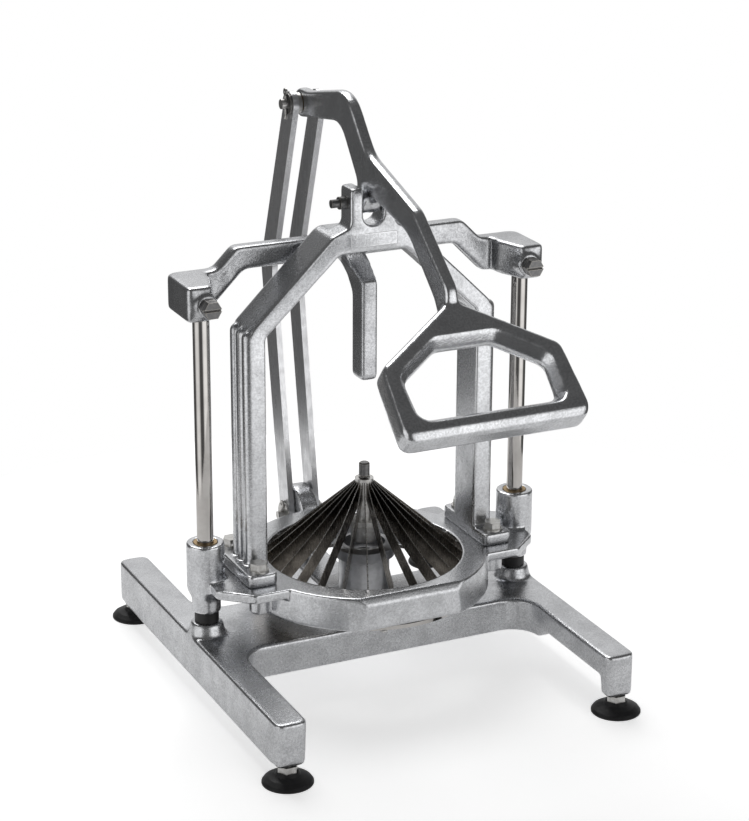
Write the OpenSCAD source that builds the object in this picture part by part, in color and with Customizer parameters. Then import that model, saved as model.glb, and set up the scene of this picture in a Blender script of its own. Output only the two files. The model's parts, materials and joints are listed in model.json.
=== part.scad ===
// Lever-operated blooming onion cutter: a bladed ring slides on two rods over a fixed cup.
// Millimetres, +Z up, front towards -Y, standing on Z = 0.

/* [Base casting] */
// Overall width over the two rails
base_w = 295; // [290:1:305]
// Rail width
rail_w = 25; // [23:1:28]
// Front end of the rails, ahead of the rods
rail_front = 171; // [166:1:178]
// Rear end of the rails, behind the rods
rail_rear = 163; // [158:1:168]
// Depth of the rails' outer wall
outer_skirt = 35; // [32:1:37]
// Depth of the rails' inner wall
inner_skirt = 18; // [14:1:24]
// Casting wall
cast_wall = 7; // [6:0.5:8]
// Crossbeam width, front to back
beam_w = 84; // [78:1:90]
// Crossbeam depth
beam_h = 27; // [24:1:29]
// Fillet between crossbeam and rail
beam_fillet = 22; // [12:1:28]

/* [Feet] */
// Foot radius
foot_r = 19; // [17:0.5:21]
// Height of the rubber foot
foot_h = 9; // [8:0.5:11]
// Distance of a foot's centre from the end of its rail
foot_inset = 8; // [7:0.5:14]
// Gap between the rubber foot and the casting
leg_gap = 5; // [3:0.5:7]
// Foot stud radius
stud_r = 4; // [3:0.5:5]

/* [Guide rods] */
// Rod radius
rod_r = 6.35; // [6:0.05:7]
// Distance between the rods
rod_gap = 266; // [264:1:268]
// Metal of the bridge above the rods' ends
rod_cover = 6; // [4:0.5:9]
// Height of the boss under each bumper
post_h = 10.5; // [8:0.5:12]
// Bumper height
bumper_h = 8; // [7:0.5:9]

/* [Onion cup] */
// Height of the cup above the crossbeam
cup_h = 53; // [50:0.5:53.5]
// Cup rim radius
cup_r = 24; // [22:0.5:27]
// Radius of the recess that takes the onion's root
cup_recess_r = 16.5; // [15:0.5:18]
// Depth of the recess
cup_recess = 8; // [6:0.5:12]

/* [Blade ring] */
// Ring height
ring_h = 26.5; // [25:0.5:27]
// Opening radius
ring_bore = 77; // [74:0.5:78]
// Outer radius at the top
ring_r = 96.5; // [95:0.5:98]
// Distance from the blade axis to the flat front
ring_flat = 89; // [87.5:0.5:92]
// Number of blades
blade_count = 24; // [16:4:28]
// Blade thickness
blade_t = 0.6; // [0.4:0.1:0.7]
// Blade height
blade_h = 15; // [12:0.5:18]
// Rise of the blade cone from the ring to the hub
cone_rise = 61; // [50:1:64]

/* [Slide bosses] */
// Boss radius above the ring
boss_r = 14.6; // [14:0.1:15.2]
// Boss radius below the ring
boss_low_r = 11.1; // [10.6:0.1:12]
// Rise of the boss above the ring
boss_rise = 30; // [26:0.5:36]

/* [Gate frame] */
// Half width inside the uprights
gate_in = 88; // [87:0.5:90]
// Width of the bar, seen from the front
gate_bar = 12; // [11:0.5:13]
// Front face of the frame, ahead of the rods
gate_front = 16; // [15:0.5:18]
// Rear face of the frame, behind the rods
gate_rear = 18; // [16:0.5:19]
// Rise of the outer shoulder corner above the ring
gate_post = 196; // [191:0.5:200]
// Rise of the cross-piece's underside above that corner
gate_roof = 50.5; // [48:0.5:54]
// Height of the clevis ears above the pivot
clevis_ear = 12.5; // [10:0.5:15]
// Half width of the clevis slot
clevis_slot = 8.4; // [7.9:0.1:9]
// Half width over the clevis ears
clevis_out = 18.5; // [17.5:0.5:20]

/* [Bridge] */
// Height of the end blocks
block_h = 27; // [25:0.5:30]
// Rise of the cross arm above the end blocks
arm_rise = 16; // [14:0.5:18]
// Height of the cross arm
arm_h = 18; // [16:0.5:20]
// Gap between the arm's elbow and the gate above it
elbow_clear = 7; // [5:0.5:9]
// Front of the cross arm, behind the rods
arm_front = 23; // [22:0.5:25]
// Thickness of the cross arm
arm_t = 13; // [11:0.5:15]
// Straight length of the plunger
plunger_l = 79; // [76:0.5:80]
// Plunger width
plunger_w = 13.5; // [12:0.5:15]
// Plunger depth, front to back
plunger_d = 20; // [17:0.5:21]

/* [Handle] */
// Lever thickness
lever_t = 10; // [9:0.5:13]
// Slope of the hand grip below the horizontal
grip_slope = 40; // [36:1:44]
// Half width of the hand grip
grip_half = 72; // [68:1:76]
// Thickness of the hand grip
grip_t = 22; // [20:0.5:24]

/* [Links] */
// Thickness of a link
link_t = 4.8; // [4:0.2:5.2]
// Gap between the two links
link_gap = 17.6; // [17.2:0.1:18.4]
// Width of a link at its pins
link_w = 19; // [17:0.5:20]
// Width of a link at its bend
link_knee_w = 22.5; // [20:0.5:24]

/* [Hidden] */
$fn = 64;

// Clearances and overruns
cut = 1;
fit = 0.05;
seat_gap = 0.3;
face_gap = 0.2;
sink = 2;

// Heights, stacked up from the counter
boss_drop = 0.2;
gate_cross = 14.3;
gate_shelf = 5.7;
elbow_drop = 11;
neck_sink = 11;
pivot_up = 17;
rail_low = foot_h + leg_gap;
rail_top = rail_low + outer_skirt;
beam_low = rail_top - beam_h;
post_top = rail_top + post_h;
cup_top = rail_top + cup_h;
boss_low = post_top + bumper_h + seat_gap;
ring_low = boss_low + boss_drop;
ring_top = ring_low + ring_h;
boss_top = ring_top + boss_rise;
gate_shoulder = ring_top + gate_post;
gate_sill = gate_shoulder + gate_roof;
slot_floor = gate_sill + gate_cross + gate_shelf;
pivot_z = slot_floor + pivot_up;
clevis_top = pivot_z + clevis_ear;
arm_high = gate_sill - elbow_clear + elbow_drop;
arm_low = arm_high - arm_h;
elbow_neck = arm_low - neck_sink;
plunger_low = elbow_neck - plunger_l;
bridge_top = arm_high - arm_rise;
bridge_low = bridge_top - block_h;
rod_top = bridge_top - rod_cover;

// Pivots in the Y-Z plane, measured from the rods' plane: handle on the gate, handle on the links,
// links on the base, and the links' bend. The lever's outline is drawn from its root in the clevis.
pivot_gate = [-4.5, pivot_z];
rear_reach = 116;
rear_rise = 52.5;
root_shift = [-0.5, -1.5];
lever_root = pivot_gate + root_shift;
pivot_top = lever_root + [rear_reach, rear_rise];
pivot_low_y = 125.5;
pivot_low_up = 32;
pivot_low = [pivot_low_y, rail_top + pivot_low_up];
knee_reach = [34, 205];
knee = pivot_low + knee_reach;

// The lever's outline as shares of its reach behind and ahead of its root: [y, z, radius]
heel_share = [0.905, 0.55, 0.5];
crest_share = [0.266, 0.683, 0.27];
hollow_share = [0.358, 0.455, 0.2];
throat_share = [0.095, 0.125, 0.07];
nape_share = [-0.039, 0.268, 0.28];
brow_share = [-0.603, 0.1, 0.14];
nose_share = [-1, -0.209, 0.1];
chin_share = [-0.9, -0.387, 0];
jaw_share = [-0.845, -0.3, 0.07];
bend_share = [-0.533, -0.033, 0.32];
tuck_share = [-0.12, 0.048, 0.057];

// Hand grip: where its front face meets the lever, and its outline along the slope
neck_reach = 141;
neck_drop = 39.5;
neck = lever_root - [neck_reach, neck_drop];
grip_neck = -3.5;
grip_neck_half = 8.5;
grip_shoulder = 46.5;
grip_shoulder_half = 70;
grip_end = 102;
grip_corner = 8;
grip_ease = 2;
grip_bevel = 5;
hand_top = 37;
hand_top_half = 20.5;
hand_side = 56;
hand_side_half = 48;
hand_low = 77.3;
hand_low_half = 47;
hand_r = 5;
hand_draft = 7;

// The part stands centred on its own footprint
foot_rear_y = rail_rear - foot_inset;
foot_front_y = -rail_front + foot_inset;
grip_reach = grip_end * cos(grip_slope) - grip_bevel * sin(grip_slope) - neck[0];
blade_axis_y = (grip_reach - foot_rear_y - foot_r) / 2;

rod_x = rod_gap / 2;
rail_x = base_w / 2 - rail_w;
foot_shift = 1.2;
foot_x = base_w / 2 - rail_w / 2 + foot_shift;
foot_spots = [[-foot_x, foot_front_y], [foot_x, foot_front_y], [-foot_x, foot_rear_y], [foot_x, foot_rear_y]];

rail_round = 7;
post_r = 14.4;
post_top_r = 12.2;
foot_pad_l = 13;
foot_boss_r = 9.5;
rail_edge_round = 4;
leg_draft = 2.4;
stud_low = 4.5;
stud_reach = 26;
stud_top = rail_low + stud_reach;
nut_r = 7.8;
foot_hollow = 2;

// The rubber foot's outline as shares of its radius and height
foot_shares = [[0.7, 0], [1, 0], [1, 0.12], [0.93, 0.32], [0.75, 0.55], [0.5, 0.75], [0.42, 1]];
foot_hollow_share = 0.6;

rod_floor = 4;
rod_low = beam_low + rod_floor;
rod_screw_r = 4;
rod_screw_head_r = 7;
rod_screw_head = 6;
rod_screw_reach = 20;

rib_w = 34;
lug_half = 7.8;
lug_r = 24;
pin_r = 3.2;
low_slot_r = 4.5;
low_slot_half = 3;
low_eye_wall = 3;
knee_round = 30;

cup_foot_r = 30;
cup_foot_h = 6;
cup_body_r = 20;
cup_flare_h = 12;
cup_lip_w = 2.5;
cup_draft = 1;
cup_lip_drop = 2;
cup_screw_r = 4;
cup_screw_head_r = 6.5;
cup_screw_head = 7;
cup_screw_reach = 16;

bumper_r = 9.3;
bushing_r = 9;
bushing_h = 19;
taper_h = 8;

ear_t = 7.5;
ear_in = 80;
ear_out = 112;
ear_front = 48;
ear_rear = 44;
ear_tip = [135, 27.5];
ear_round = 5;
ring_draft = 1.5;
ring_chamfer = 5.5;
ring_chamfer_angle = 60;
bolt_x = 100;
bolt_front = -26;
bolt_rear = 29;
bolt_boss_r = 8;
bolt_boss_h = 16;
bolt_r = 3;
bolt_head_r = 6.9;
bolt_head = 5.5;
washer_r = 7.8;
washer_t = 1.4;
gate_foot_h = 10;
gate_foot_front = 36;
gate_foot_rear = 38;
gate_foot_round = 4;
gate_out_round = 9;
gate_in_round = 6;
gate_step = 6.5;
gate_neck = 15;
gate_neck_round = 8;
gate_shelf_round = 6;
sill_half = 27;
clevis_round = 3;
ear_floor = 4;
flute_sink = 0.5;
flute_r = 5.5;
flute_count = 3;
ear_depth = 20;
badge_w = 38;
badge_h = 10.5;
badge_t = 0.7;
badge_up = 4.3;
badge_low = gate_sill + badge_up;

hub_top = ring_top + cone_rise;
slot_w = 1;
blade_seat = 6;
hub_r = 7.3;
hub_core_r = 5.3;
hub_slot = 0.8;
hub_rim = 2.5;
tube_r = 5.4;
flange_r = 10.4;
flange_h = 4;
corer_r = 11;
corer_wall = 1.4;
corer_h = 13;
corer_gap = 2;
corer_low = cup_top + corer_gap;
corer_roof = 1;
spring_bore = 4.5;
spring_l = 15.5;
spring_seat = hub_top - spring_l;
spring_turns = 7;
spring_wire = 0.4;
spring_r = 3.6;
ejector_r = 2.5;
ejector_disc_r = 9;
ejector_disc = 2.6;
ejector_cap_r = 4.2;
ejector_cap_h = 10.5;
ejector_cap_chamfer = 1;
ejector_rise = 2;
thread_h = 6;

retainer_t = 3;
retainer_in = 79;
retainer_out = 88.5;
retainer_screw_r = 1.5;
retainer_screw_head_r = 3;
retainer_screw_reach = 12;
retainer_screws_n = 6;
retainer_pcr = 86.2;

blade_top_in = hub_top - hub_rim;
blade_top_out = ring_top - hub_rim;

block_out = 147.5;
block_in = 119.5;
block_front = 12.5;
block_nose = 128;
block_round = 4;
block_back_round = 8;
arm_step = 88;
arm_root = 113;
arm_shift = 2;
arm_round = 8;
elbow_half = 9.8;
elbow_under = 13;
elbow_foot = 4;
elbow_round = 3;
elbow_crook_round = 6;
clamp_sink = 14.5;
clamp_z = bridge_top - clamp_sink;
clamp_boss_r = 9;
clamp_boss = 3;
clamp_r = 4;
clamp_nut_r = 7.2;
clamp_nut = 4.5;
clamp_head_r = 7.2;
clamp_head = 6;
clamp_slot_w = 1.8;
clamp_slot_d = 2.2;
mark_r = 3.2;
mark_x = 103;
mark_sink = 5;
mark_z = bridge_top - mark_sink;

end_boss_r = 11.5;
mid_boss_r = 9.8;
mid_boss_half = clevis_slot - seat_gap;
bushing_wall = 2.2;
top_pin_r = 3.9;
clevis_pin_head_r = 4.8;
clevis_pin_head = 5;
clevis_pin_tip = 30;
clip_t = 1.2;
clip_r = 5.6;
pin_head = 3;
pin_head_r = 6.5;
pin_tip = 20.5;
big_washer_r = 10.8;
small_washer_r = 8.2;
cotter_r = 0.9;
cotter_eye = 2.2;
cotter_flat = 0.7;
cotter_up = 7;
cotter_down = 8;
cotter_splay = 25;

// A direction of length one
function unit(v) = v / norm(v);

// The round-off at corner q between p and s
function turn(p, q, s, r, n = 6) =
  let (a = unit(p - q), b = unit(s - q), half = acos(a * b) / 2, reach = r / tan(half),
       centre = q + unit(a + b) * r / sin(half), from = q + a * reach - centre, to = q + b * reach - centre,
       start = atan2(from[1], from[0]), raw = atan2(to[1], to[0]) - start,
       sweep = raw > 180 ? raw - 360 : raw < -180 ? raw + 360 : raw)
  [for (i = [0:n]) centre + r * [cos(start + sweep * i / n), sin(start + sweep * i / n)]];

// An outline whose corners are [a, b, radius]
function rounded(c) = [for (i = [0:len(c) - 1])
  let (p = c[(i + len(c) - 1) % len(c)], q = c[i], s = c[(i + 1) % len(c)], k = [0, 1])
  each (q[2] == 0 ? [[q[0], q[1]]] : turn([p[0], p[1]], [q[0], q[1]], [s[0], s[1]], q[2]))];

// The second half of a symmetric outline, in reverse order
function mirrored(c) = [for (i = [len(c) - 1:-1:0]) [-c[i][0], c[i][1], c[i][2]]];

// Everything is drawn about the rods' plane and set on the part's own origin
module placed() { translate([0, blade_axis_y, 0]) children(); }

module both_sides() { children(); mirror([1, 0, 0]) children(); }

// A Y-Z outline between two values of X
module side_plate(outline, x0, x1) {
  translate([x0, 0, 0]) rotate([90, 0, 90]) linear_extrude(x1 - x0) polygon(outline);
}

// An X-Z outline between two values of Y
module front_plate(outline, y0, y1) {
  translate([0, y1, 0]) rotate([90, 0, 0]) linear_extrude(y1 - y0) polygon(outline);
}

// A round bar along X between two values of X
module bar_x(yz, r, x0, x1) {
  translate([x0, yz[0], yz[1]]) rotate([0, 90, 0]) cylinder(h = x1 - x0, r = r);
}

// A round bar along Y between two values of Y
module bar_y(xz, r, y0, y1, sides = $fn) {
  translate([xz[0], y1, xz[1]]) rotate([90, 0, 0]) cylinder(h = y1 - y0, r = r, $fn = sides);
}

module tube(r_out, r_in, z0, z1) {
  difference() {
    translate([0, 0, z0]) cylinder(h = z1 - z0, r = r_out);
    translate([0, 0, z0 - cut]) cylinder(h = z1 - z0 + 2 * cut, r = r_in);
  }
}

module box(x0, x1, y0, y1, z0, z1) { translate([x0, y0, z0]) cube([x1 - x0, y1 - y0, z1 - z0]); }

// Base casting
module rail() {
  intersection() {
    translate([0, 0, rail_low]) linear_extrude(outer_skirt) polygon(rounded([
      [rail_x, -rail_front, rail_round], [base_w / 2, -rail_front, rail_round],
      [base_w / 2, rail_rear, rail_round], [rail_x, rail_rear, rail_round]]));
    union() {
      box(rail_x, base_w / 2, -rail_front + foot_pad_l, rail_rear - foot_pad_l, rail_low, rail_top);
      front_plate(rounded([[rail_x, rail_top, 0], [base_w / 2, rail_top, 0],
        [base_w / 2, rail_low, rail_edge_round], [rail_x + leg_draft, rail_low, rail_edge_round]]),
        -rail_front, rail_rear);
    }
    side_plate(rounded([[-rail_front, rail_top, 0], [rail_rear, rail_top, 0],
      [rail_rear, rail_low, rail_edge_round], [-rail_front, rail_low, rail_edge_round]]), 0, base_w);
  }
}

// The hollow under a rail: open below all along, deeper ahead of and behind the crossbeam
module rail_hollow() {
  mid = beam_w / 2 + beam_fillet;
  ends = [-rail_front + foot_pad_l, rail_rear - foot_pad_l];
  box(rail_x - cut, base_w / 2 - cast_wall, ends[0], ends[1], rail_low - cut, beam_low);
  for (y = [[ends[0], -mid], [mid, ends[1]]]) {
    box(rail_x + cast_wall, base_w / 2 - cast_wall, y[0], y[1], rail_low - cut, rail_top - cast_wall);
    box(rail_x - cut, base_w / 2 - cast_wall, y[0], y[1], rail_low - cut, rail_top - inner_skirt);
  }
}

module beam_corner(side_y) {
  inner = beam_w / 2;
  reach = rail_x + cut;
  c = [rail_x - beam_fillet, side_y * (inner + beam_fillet)];
  translate([0, 0, beam_low]) linear_extrude(beam_h) difference() {
    polygon([[c[0], side_y * (inner - cut)], [reach, side_y * (inner - cut)], [reach, c[1]], [c[0], c[1]]]);
    translate(c) circle(r = beam_fillet);
  }
}

module base_lug() {
  reach = pivot_low[0] + lug_r;
  arch = [for (a = [180:-15:0]) pivot_low + lug_r * [cos(a), sin(a)]];
  side_plate(concat([[pivot_low[0] - lug_r, beam_low]], arch, [[reach, beam_low]]), -lug_half, lug_half);
  box(-rib_w / 2, rib_w / 2, beam_w / 2 - cut, reach, beam_low, rail_top);
}

module base_casting() {
  color("silver") placed() difference() {
    union() {
      both_sides() {
        rail();
        beam_corner(1);
        beam_corner(-1);
        translate([rod_x, 0, beam_low]) cylinder(h = rail_top - beam_low, r = post_r);
        translate([rod_x, 0, rail_top]) cylinder(h = post_h, r1 = post_r, r2 = post_top_r);
      }
      box(-rail_x - cut, rail_x + cut, -beam_w / 2, beam_w / 2, beam_low, rail_top);
      base_lug();
    }
    both_sides() {
      difference() {
        rail_hollow();
        for (y = [foot_front_y, foot_rear_y]) translate([foot_x, y, rail_low - cut])
          cylinder(h = rail_top, r = foot_boss_r);
      }
      box(cup_foot_r, rod_x - post_r - cast_wall, -beam_w / 2 + cast_wall, beam_w / 2 - cast_wall,
          beam_low - cut, rail_top - cast_wall);
      translate([rod_x, 0, rod_low]) cylinder(h = post_top, r = rod_r + fit);
      translate([rod_x, 0, beam_low - cut]) cylinder(h = post_top, r = rod_screw_r + fit);
    }
    for (p = foot_spots) translate([p[0], p[1], rail_low - cut]) cylinder(h = stud_top - rail_low + cut, r = stud_r + fit);
    translate([0, 0, rail_top - cup_screw_reach - sink]) cylinder(h = rail_top, r = cup_screw_r + fit);
    bar_x(pivot_low, pin_r + fit, -lug_half - cut, lug_half + cut);
  }
}

// Feet
module rubber_foot(p) {
  skin = [for (q = foot_shares) [q[0] * foot_r, q[1] * foot_h]];
  bore = [[stud_r + fit, foot_h], [stud_r + fit, stud_low], [0, stud_low], [0, foot_hollow],
          [foot_r * foot_hollow_share, foot_hollow]];
  color("dimgray") placed() translate([p[0], p[1], 0]) rotate_extrude() polygon(concat(skin, bore));
}

module foot_studs() {
  color("silver") placed() for (p = foot_spots) translate([p[0], p[1], 0]) {
    translate([0, 0, stud_low]) cylinder(h = stud_top - stud_low - seat_gap, r = stud_r);
    translate([0, 0, foot_h]) cylinder(h = rail_low - foot_h, r = nut_r, $fn = 6);
  }
}

// Guide rods, their screws from below and the bumpers under the slide bosses
module guide_rod(side) {
  color("gainsboro") placed() translate([side * rod_x, 0, 0]) difference() {
    translate([0, 0, rod_low]) cylinder(h = rod_top - rod_low, r = rod_r);
    translate([0, 0, rod_low - cut]) cylinder(h = rod_screw_reach + cut, r = rod_screw_r + fit);
  }
}

module rod_screws() {
  color("gray") placed() both_sides() translate([rod_x, 0, 0]) {
    translate([0, 0, beam_low - rod_screw_head]) cylinder(h = rod_screw_head, r = rod_screw_head_r);
    translate([0, 0, beam_low]) cylinder(h = rod_screw_reach, r = rod_screw_r);
  }
}

module bumper(side) {
  color("black") placed() translate([side * rod_x, 0, 0])
    tube(bumper_r, rod_r + fit, post_top, post_top + bumper_h);
}

// Onion cup on the crossbeam
module onion_cup() {
  floor_z = cup_top - cup_recess;
  color("lightgray") placed() difference() {
    rotate_extrude() polygon([
      [0, rail_top], [cup_foot_r, rail_top], [cup_foot_r, rail_top + cup_foot_h],
      [cup_body_r, rail_top + 2 * cup_foot_h], [cup_body_r, cup_top - cup_flare_h],
      [cup_r, cup_top - cup_flare_h + cup_lip_drop], [cup_r, cup_top - cup_lip_drop],
      [cup_recess_r + cup_lip_w, cup_top], [cup_recess_r, cup_top], [cup_recess_r - cup_draft, floor_z], [0, floor_z]]);
    translate([0, 0, rail_top - cut]) cylinder(h = cup_top, r = cup_screw_r + fit);
    translate([0, 0, floor_z - cup_screw_head]) cylinder(h = cup_top, r = cup_screw_head_r + fit);
  }
}

module cup_screw() {
  head_z = cup_top - cup_recess - cup_screw_head;
  low = rail_top - cup_screw_reach;
  color("silver") placed() difference() {
    union() {
      translate([0, 0, head_z]) cylinder(h = cup_screw_head - cut, r = cup_screw_head_r);
      translate([0, 0, low]) cylinder(h = head_z - low, r = cup_screw_r);
    }
    translate([0, 0, head_z + cup_screw_head / 2]) cylinder(h = cup_screw_head, r = cup_screw_r, $fn = 6);
  }
}

// Bridge: end blocks on the rods, a cross arm behind the gate and the plunger over the blade axis
module bridge_half() {
  translate([0, 0, bridge_low]) linear_extrude(bridge_top - bridge_low) polygon(rounded([
    [block_in, arm_front + arm_t, 0], [block_in, block_front, 0], [block_nose, -block_front, block_round],
    [block_out, -block_front, block_round], [block_out, arm_front + arm_t, block_back_round]]));
  bar_y([rod_x, clamp_z], clamp_boss_r, -block_front - clamp_boss, 0);
}

module bridge_casting() {
  rise = arm_high - bridge_top;
  half_arm = [[arm_step, arm_low, arm_round], [arm_root, bridge_low, 0], [block_in + sink, bridge_low, 0],
              [block_in + sink, bridge_top, 0], [arm_root - arm_shift, bridge_top, arm_round],
              [arm_root - arm_shift - rise, arm_high, arm_round]];
  half = plunger_d / 2;
  elbow = [[arm_front + arm_t, arm_high, 0], [arm_front, arm_high, elbow_round],
           [arm_front, arm_high - elbow_drop, elbow_round], [-half, elbow_neck, elbow_round],
           [-half, plunger_low, elbow_round], [half, plunger_low, elbow_round],
           [half, elbow_neck - elbow_under, elbow_crook_round],
           [arm_front + elbow_foot, arm_low - elbow_foot, 0], [arm_front + arm_t, arm_low, 0]];
  taper = [[plunger_w / 2, plunger_low - cut], [plunger_w / 2, elbow_neck], [elbow_half, arm_low],
           [elbow_half, arm_high + cut], [-elbow_half, arm_high + cut], [-elbow_half, arm_low],
           [-plunger_w / 2, elbow_neck], [-plunger_w / 2, plunger_low - cut]];
  color("silver") placed() difference() {
    union() {
      both_sides() bridge_half();
      front_plate(rounded(concat(half_arm, mirrored(half_arm))), arm_front, arm_front + arm_t);
      intersection() {
        side_plate(rounded(elbow), -block_in, block_in);
        front_plate(taper, -block_out, block_out);
      }
    }
    both_sides() {
      translate([rod_x, 0, bridge_low - cut])
        cylinder(h = rod_top - bridge_low + cut + seat_gap, r = rod_r + fit);
      bar_y([rod_x, clamp_z], clamp_r + fit, -block_front - clamp_boss - cut, 0);
    }
    bar_y([-mark_x, mark_z], mark_r, arm_front - cut, arm_front + cut);
  }
}

module clamp_screws() {
  seat = -block_front - clamp_boss - clamp_nut;
  color("dimgray") placed() both_sides() difference() {
    union() {
      bar_y([rod_x, clamp_z], clamp_r, seat, -rod_r);
      bar_y([rod_x, clamp_z], clamp_head_r, seat - clamp_head, seat, 6);
    }
    box(rod_x - clamp_head_r - cut, rod_x + clamp_head_r + cut, seat - clamp_head - cut,
        seat - clamp_head + clamp_slot_d, clamp_z - clamp_slot_w / 2, clamp_z + clamp_slot_w / 2);
  }
}

module clamp_nuts() {
  seat = -block_front - clamp_boss;
  color("gray") placed() both_sides() difference() {
    bar_y([rod_x, clamp_z], clamp_nut_r, seat - clamp_nut, seat, 6);
    bar_y([rod_x, clamp_z], clamp_r + fit, seat - clamp_nut - cut, seat + cut);
  }
}

// A split pin through a pivot pin at one value of X
module cotter(yz, x) {
  translate([x, yz[0], yz[1]]) {
    translate([0, 0, -cotter_down]) cylinder(h = cotter_up + cotter_down, r = cotter_r);
    for (a = [-cotter_splay, cotter_splay]) translate([0, 0, -cotter_down]) rotate([180 + a, 0, 0])
      cylinder(h = 2 * cotter_eye, r = cotter_r);
    difference() {
      bar_x([0, cotter_up + cotter_eye], cotter_eye + cotter_r, -cotter_flat, cotter_flat);
      bar_x([0, cotter_up + cotter_eye], cotter_eye - cotter_r, -2 * cotter_r, 2 * cotter_r);
    }
  }
}

// The hole that a split pin passes through
module cotter_hole(yz, x) {
  translate([x, yz[0], yz[1] - big_washer_r]) cylinder(h = 2 * big_washer_r, r = cotter_r + fit);
}

link_in = link_gap / 2;
link_out = link_in + link_t;
washer_out = link_out + face_gap + washer_t;
cotter_x = -washer_out - cotter_r - face_gap;

module lower_pin() {
  color("gray") placed() difference() {
    union() {
      bar_x(pivot_low, pin_r, -pin_tip, washer_out + face_gap);
      bar_x(pivot_low, pin_head_r, washer_out + face_gap, washer_out + face_gap + pin_head);
    }
    cotter_hole(pivot_low, cotter_x);
  }
}

module pin_washers(yz, r_out, r_in, x0) {
  both_sides() difference() {
    bar_x(yz, r_out, x0, x0 + washer_t);
    bar_x(yz, r_in, x0 - cut, x0 + washer_t + cut);
  }
}

module lower_washers() {
  color("gray") placed() pin_washers(pivot_low, big_washer_r, pin_r + fit, link_out + face_gap);
}

module lower_cotter() { color("gray") placed() cotter(pivot_low, cotter_x); }

// Blade ring with its ears, bolt bosses and slide bosses
module ring_body() {
  difference() {
    union() {
      translate([0, 0, ring_low]) cylinder(h = ring_h, r1 = ring_r + ring_draft, r2 = ring_r);
      both_sides() {
        translate([0, 0, ring_top - ear_t]) linear_extrude(ear_t) polygon(rounded([
          [ear_in, -ear_front, 0], [ear_out, -ear_front, ear_round], [ear_tip[0], -ear_tip[1], ear_round],
          [ear_tip[0], ear_tip[1], ear_round], [ear_out, ear_rear, ear_round], [ear_in, ear_rear, 0]]));
        for (y = [bolt_front, bolt_rear]) translate([bolt_x, y, ring_top - ear_t - bolt_boss_h])
          cylinder(h = bolt_boss_h + cut, r = bolt_boss_r);
      }
    }
    translate([0, 0, ring_low - cut]) cylinder(h = ring_h + 2 * cut, r = ring_bore);
    box(-ring_r, ring_r, -2 * ring_flat, -ring_flat, ring_low - cut, ring_top + cut);
    translate([0, -ring_flat, ring_top - ring_chamfer]) rotate([ring_chamfer_angle, 0, 0])
      box(-ring_r, ring_r, -ring_h, ring_h, 0, ring_h);
  }
}

module slide_boss() {
  waist = ring_top - ear_t - taper_h;
  translate([rod_x, 0, 0]) {
    translate([0, 0, boss_low]) cylinder(h = waist - boss_low, r = boss_low_r);
    translate([0, 0, waist]) cylinder(h = taper_h, r1 = boss_low_r, r2 = boss_r);
    translate([0, 0, waist + taper_h]) cylinder(h = boss_top - waist - taper_h, r = boss_r);
  }
}

module blade_ring() {
  color("silver") placed() difference() {
    union() {
      ring_body();
      both_sides() slide_boss();
    }
    both_sides() {
      translate([rod_x, 0, boss_low - cut]) cylinder(h = boss_top, r = rod_r + 4 * fit);
      translate([rod_x, 0, boss_top - bushing_h]) cylinder(h = bushing_h + cut, r = bushing_r + fit);
      translate([rod_x, 0, boss_low - cut]) cylinder(h = bushing_h + cut, r = bushing_r + fit);
      for (y = [bolt_front, bolt_rear]) translate([bolt_x, y, ring_top - ear_t - bolt_boss_h + sink])
        cylinder(h = ring_h, r = bolt_r + fit);
    }
    for (i = [0:blade_count - 1]) rotate([0, 0, (i + 0.5) * 360 / blade_count])
      box(ring_bore - cut, ring_bore + blade_seat + seat_gap, -slot_w / 2, slot_w / 2, ring_low - cut,
          blade_top_out + face_gap);
    for (i = [0:retainer_screws_n - 1]) rotate([0, 0, (i + 0.25) * 360 / retainer_screws_n])
      translate([retainer_pcr, 0, ring_low - cut])
        cylinder(h = retainer_screw_reach + cut, r = retainer_screw_r + fit);
  }
}

module slide_bushings() {
  color("tan") placed() both_sides() translate([rod_x, 0, 0]) {
    tube(bushing_r, rod_r + fit, boss_low, boss_low + bushing_h);
    tube(bushing_r, rod_r + fit, boss_top - bushing_h, boss_top);
  }
}

// Gate frame: fluted uprights, chamfered shoulders and the clevis that carries the handle
module gate_outline(y0, y1) {
  out = gate_in + gate_bar;
  outer = [[out, ring_top, 0], [out, gate_shoulder, gate_out_round],
           [clevis_out + gate_neck, gate_sill + gate_cross, gate_neck_round],
           [clevis_out, gate_sill + gate_cross + gate_shelf, gate_shelf_round], [clevis_out, clevis_top, clevis_round]];
  inner = [[gate_in, ring_top, 0], [gate_in, gate_shoulder - gate_step, gate_in_round],
           [sill_half, gate_sill, gate_in_round]];
  front_plate(rounded(concat(outer, mirrored(outer), [for (p = inner) [-p[0], p[1], p[2]]],
    [for (i = [len(inner) - 1:-1:0]) inner[i]])), y0, y1);
}

module gate_foot() {
  translate([0, 0, ring_top]) linear_extrude(gate_foot_h) polygon(rounded([
    [gate_in, -gate_foot_front, gate_foot_round], [ear_out, -gate_foot_front, gate_foot_round],
    [ear_out, gate_foot_rear, gate_foot_round], [gate_in, gate_foot_rear, gate_foot_round]]));
}

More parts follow.
